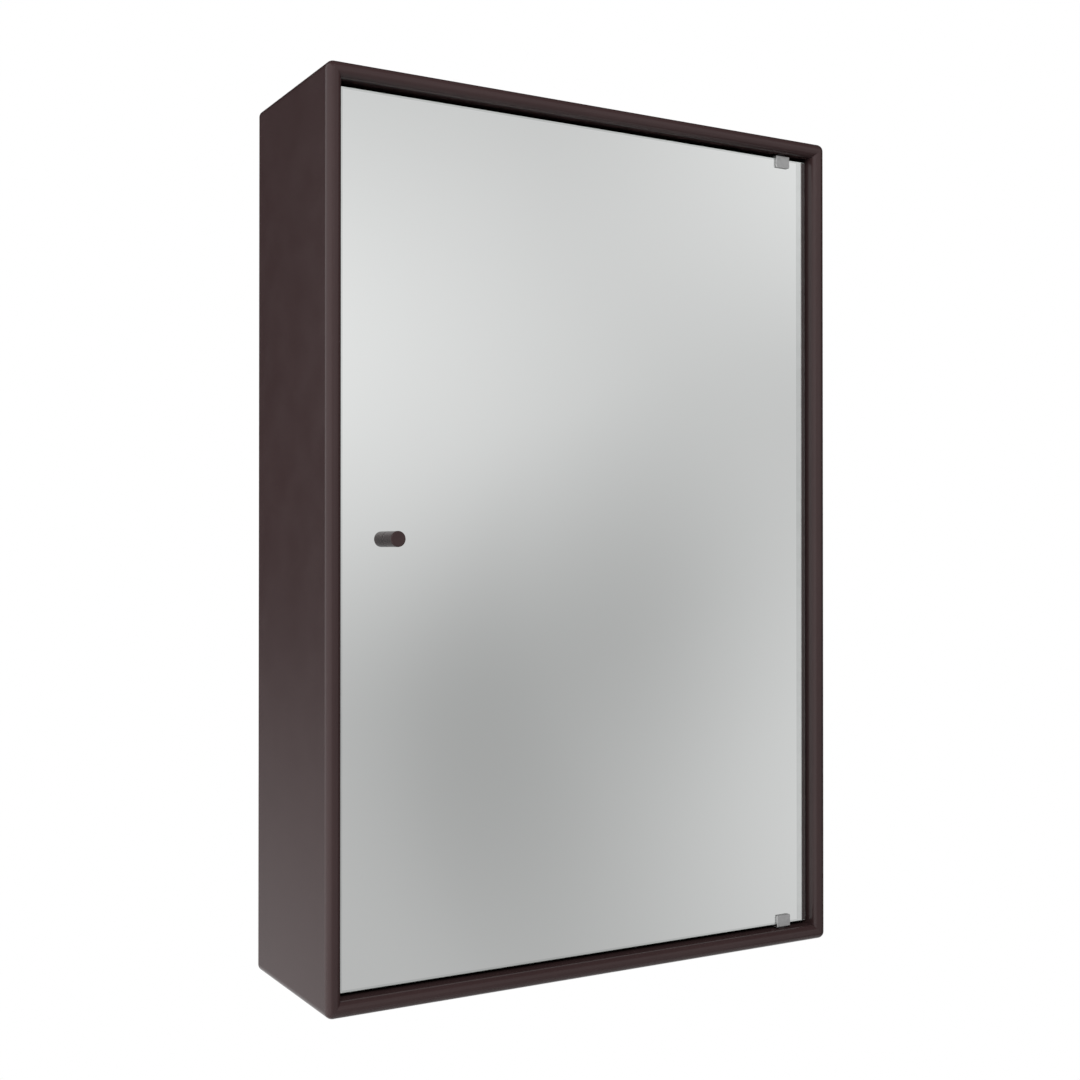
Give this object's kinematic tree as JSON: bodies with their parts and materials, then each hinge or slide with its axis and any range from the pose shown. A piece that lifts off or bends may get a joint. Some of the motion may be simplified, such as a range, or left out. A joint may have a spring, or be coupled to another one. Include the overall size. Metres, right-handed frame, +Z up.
{
  "type": "bathroom mirror cabinet",
  "caption": "Shallow wall-hung bathroom cabinet in dark brown lacquer with an inset mirror door on glass clamps, a round knob, glass shelves and a hook-over wall rail.",
  "frame": {"origin": "on the wall plane, midway between the two wall screw holes of the rail", "axes": "+X to the right when facing the mirror, +Y into the wall, +Z up; the mirror faces -Y"},
  "size_m": [0.468, 0.1545, 0.7],
  "materials": {
    "lacquer": "dark brown satin lacquer on board",
    "back_board": "dark brown lacquered thin board",
    "beech": "bare beech",
    "mirror": "clear glass silvered on the rear, ground edges",
    "film": "dull grey safety film",
    "knob_lacquer": "dark brown satin lacquer",
    "satin_metal": "satin nickel",
    "zinc": "bright zinc plate",
    "steel": "plain steel",
    "magnet": "dark sintered magnet",
    "nylon": "dark brown nylon",
    "catch_plastic": "dark brown plastic",
    "adhesive_foam": "white foam tape",
    "rubber": "black rubber",
    "clear_pad": "clear soft plastic",
    "shelf_glass": "clear float glass, polished edges"
  },
  "bodies": {
    "carcass": {"left_side_panel": "lacquer", "right_side_panel": "lacquer", "top_panel": "lacquer", "bottom_panel": "lacquer", "mitre_splines": "beech", "back_panel": "back_board", "wall_rail": "zinc", "left_hanger": "zinc", "right_hanger": "zinc", "hanger_screws": "zinc", "upper_bushing": "nylon", "lower_bushing": "nylon", "thrust_washer": "nylon", "catch_housing": "catch_plastic", "catch_magnet": "magnet", "pole_plates": "steel", "catch_screws": "zinc", "lower_shelf": "shelf_glass", "upper_shelf": "shelf_glass", "shelf_supports": "satin_metal", "support_pads": "clear_pad"},
    "door": {"mirror_glass": "mirror", "safety_film": "film", "knob": "knob_lacquer", "knob_gasket": "rubber", "knob_rear_washer": "nylon", "knob_screw": "zinc", "upper_clamp": "satin_metal", "lower_clamp": "satin_metal", "upper_clamp_pad": "rubber", "lower_clamp_pad": "rubber", "upper_pivot_pin": "steel", "lower_pivot_pin": "steel", "clamp_screws": "steel", "strike_pad": "adhesive_foam", "strike_plate": "zinc"}
  },
  "joints": [
    {"name": "door_hinge", "type": "hinge", "parent": "carcass", "child": "door", "pos_m": [0.194, -0.1365, -0.305], "axis": [0, 0, 1], "range_deg": [0, 150]}
  ]
}
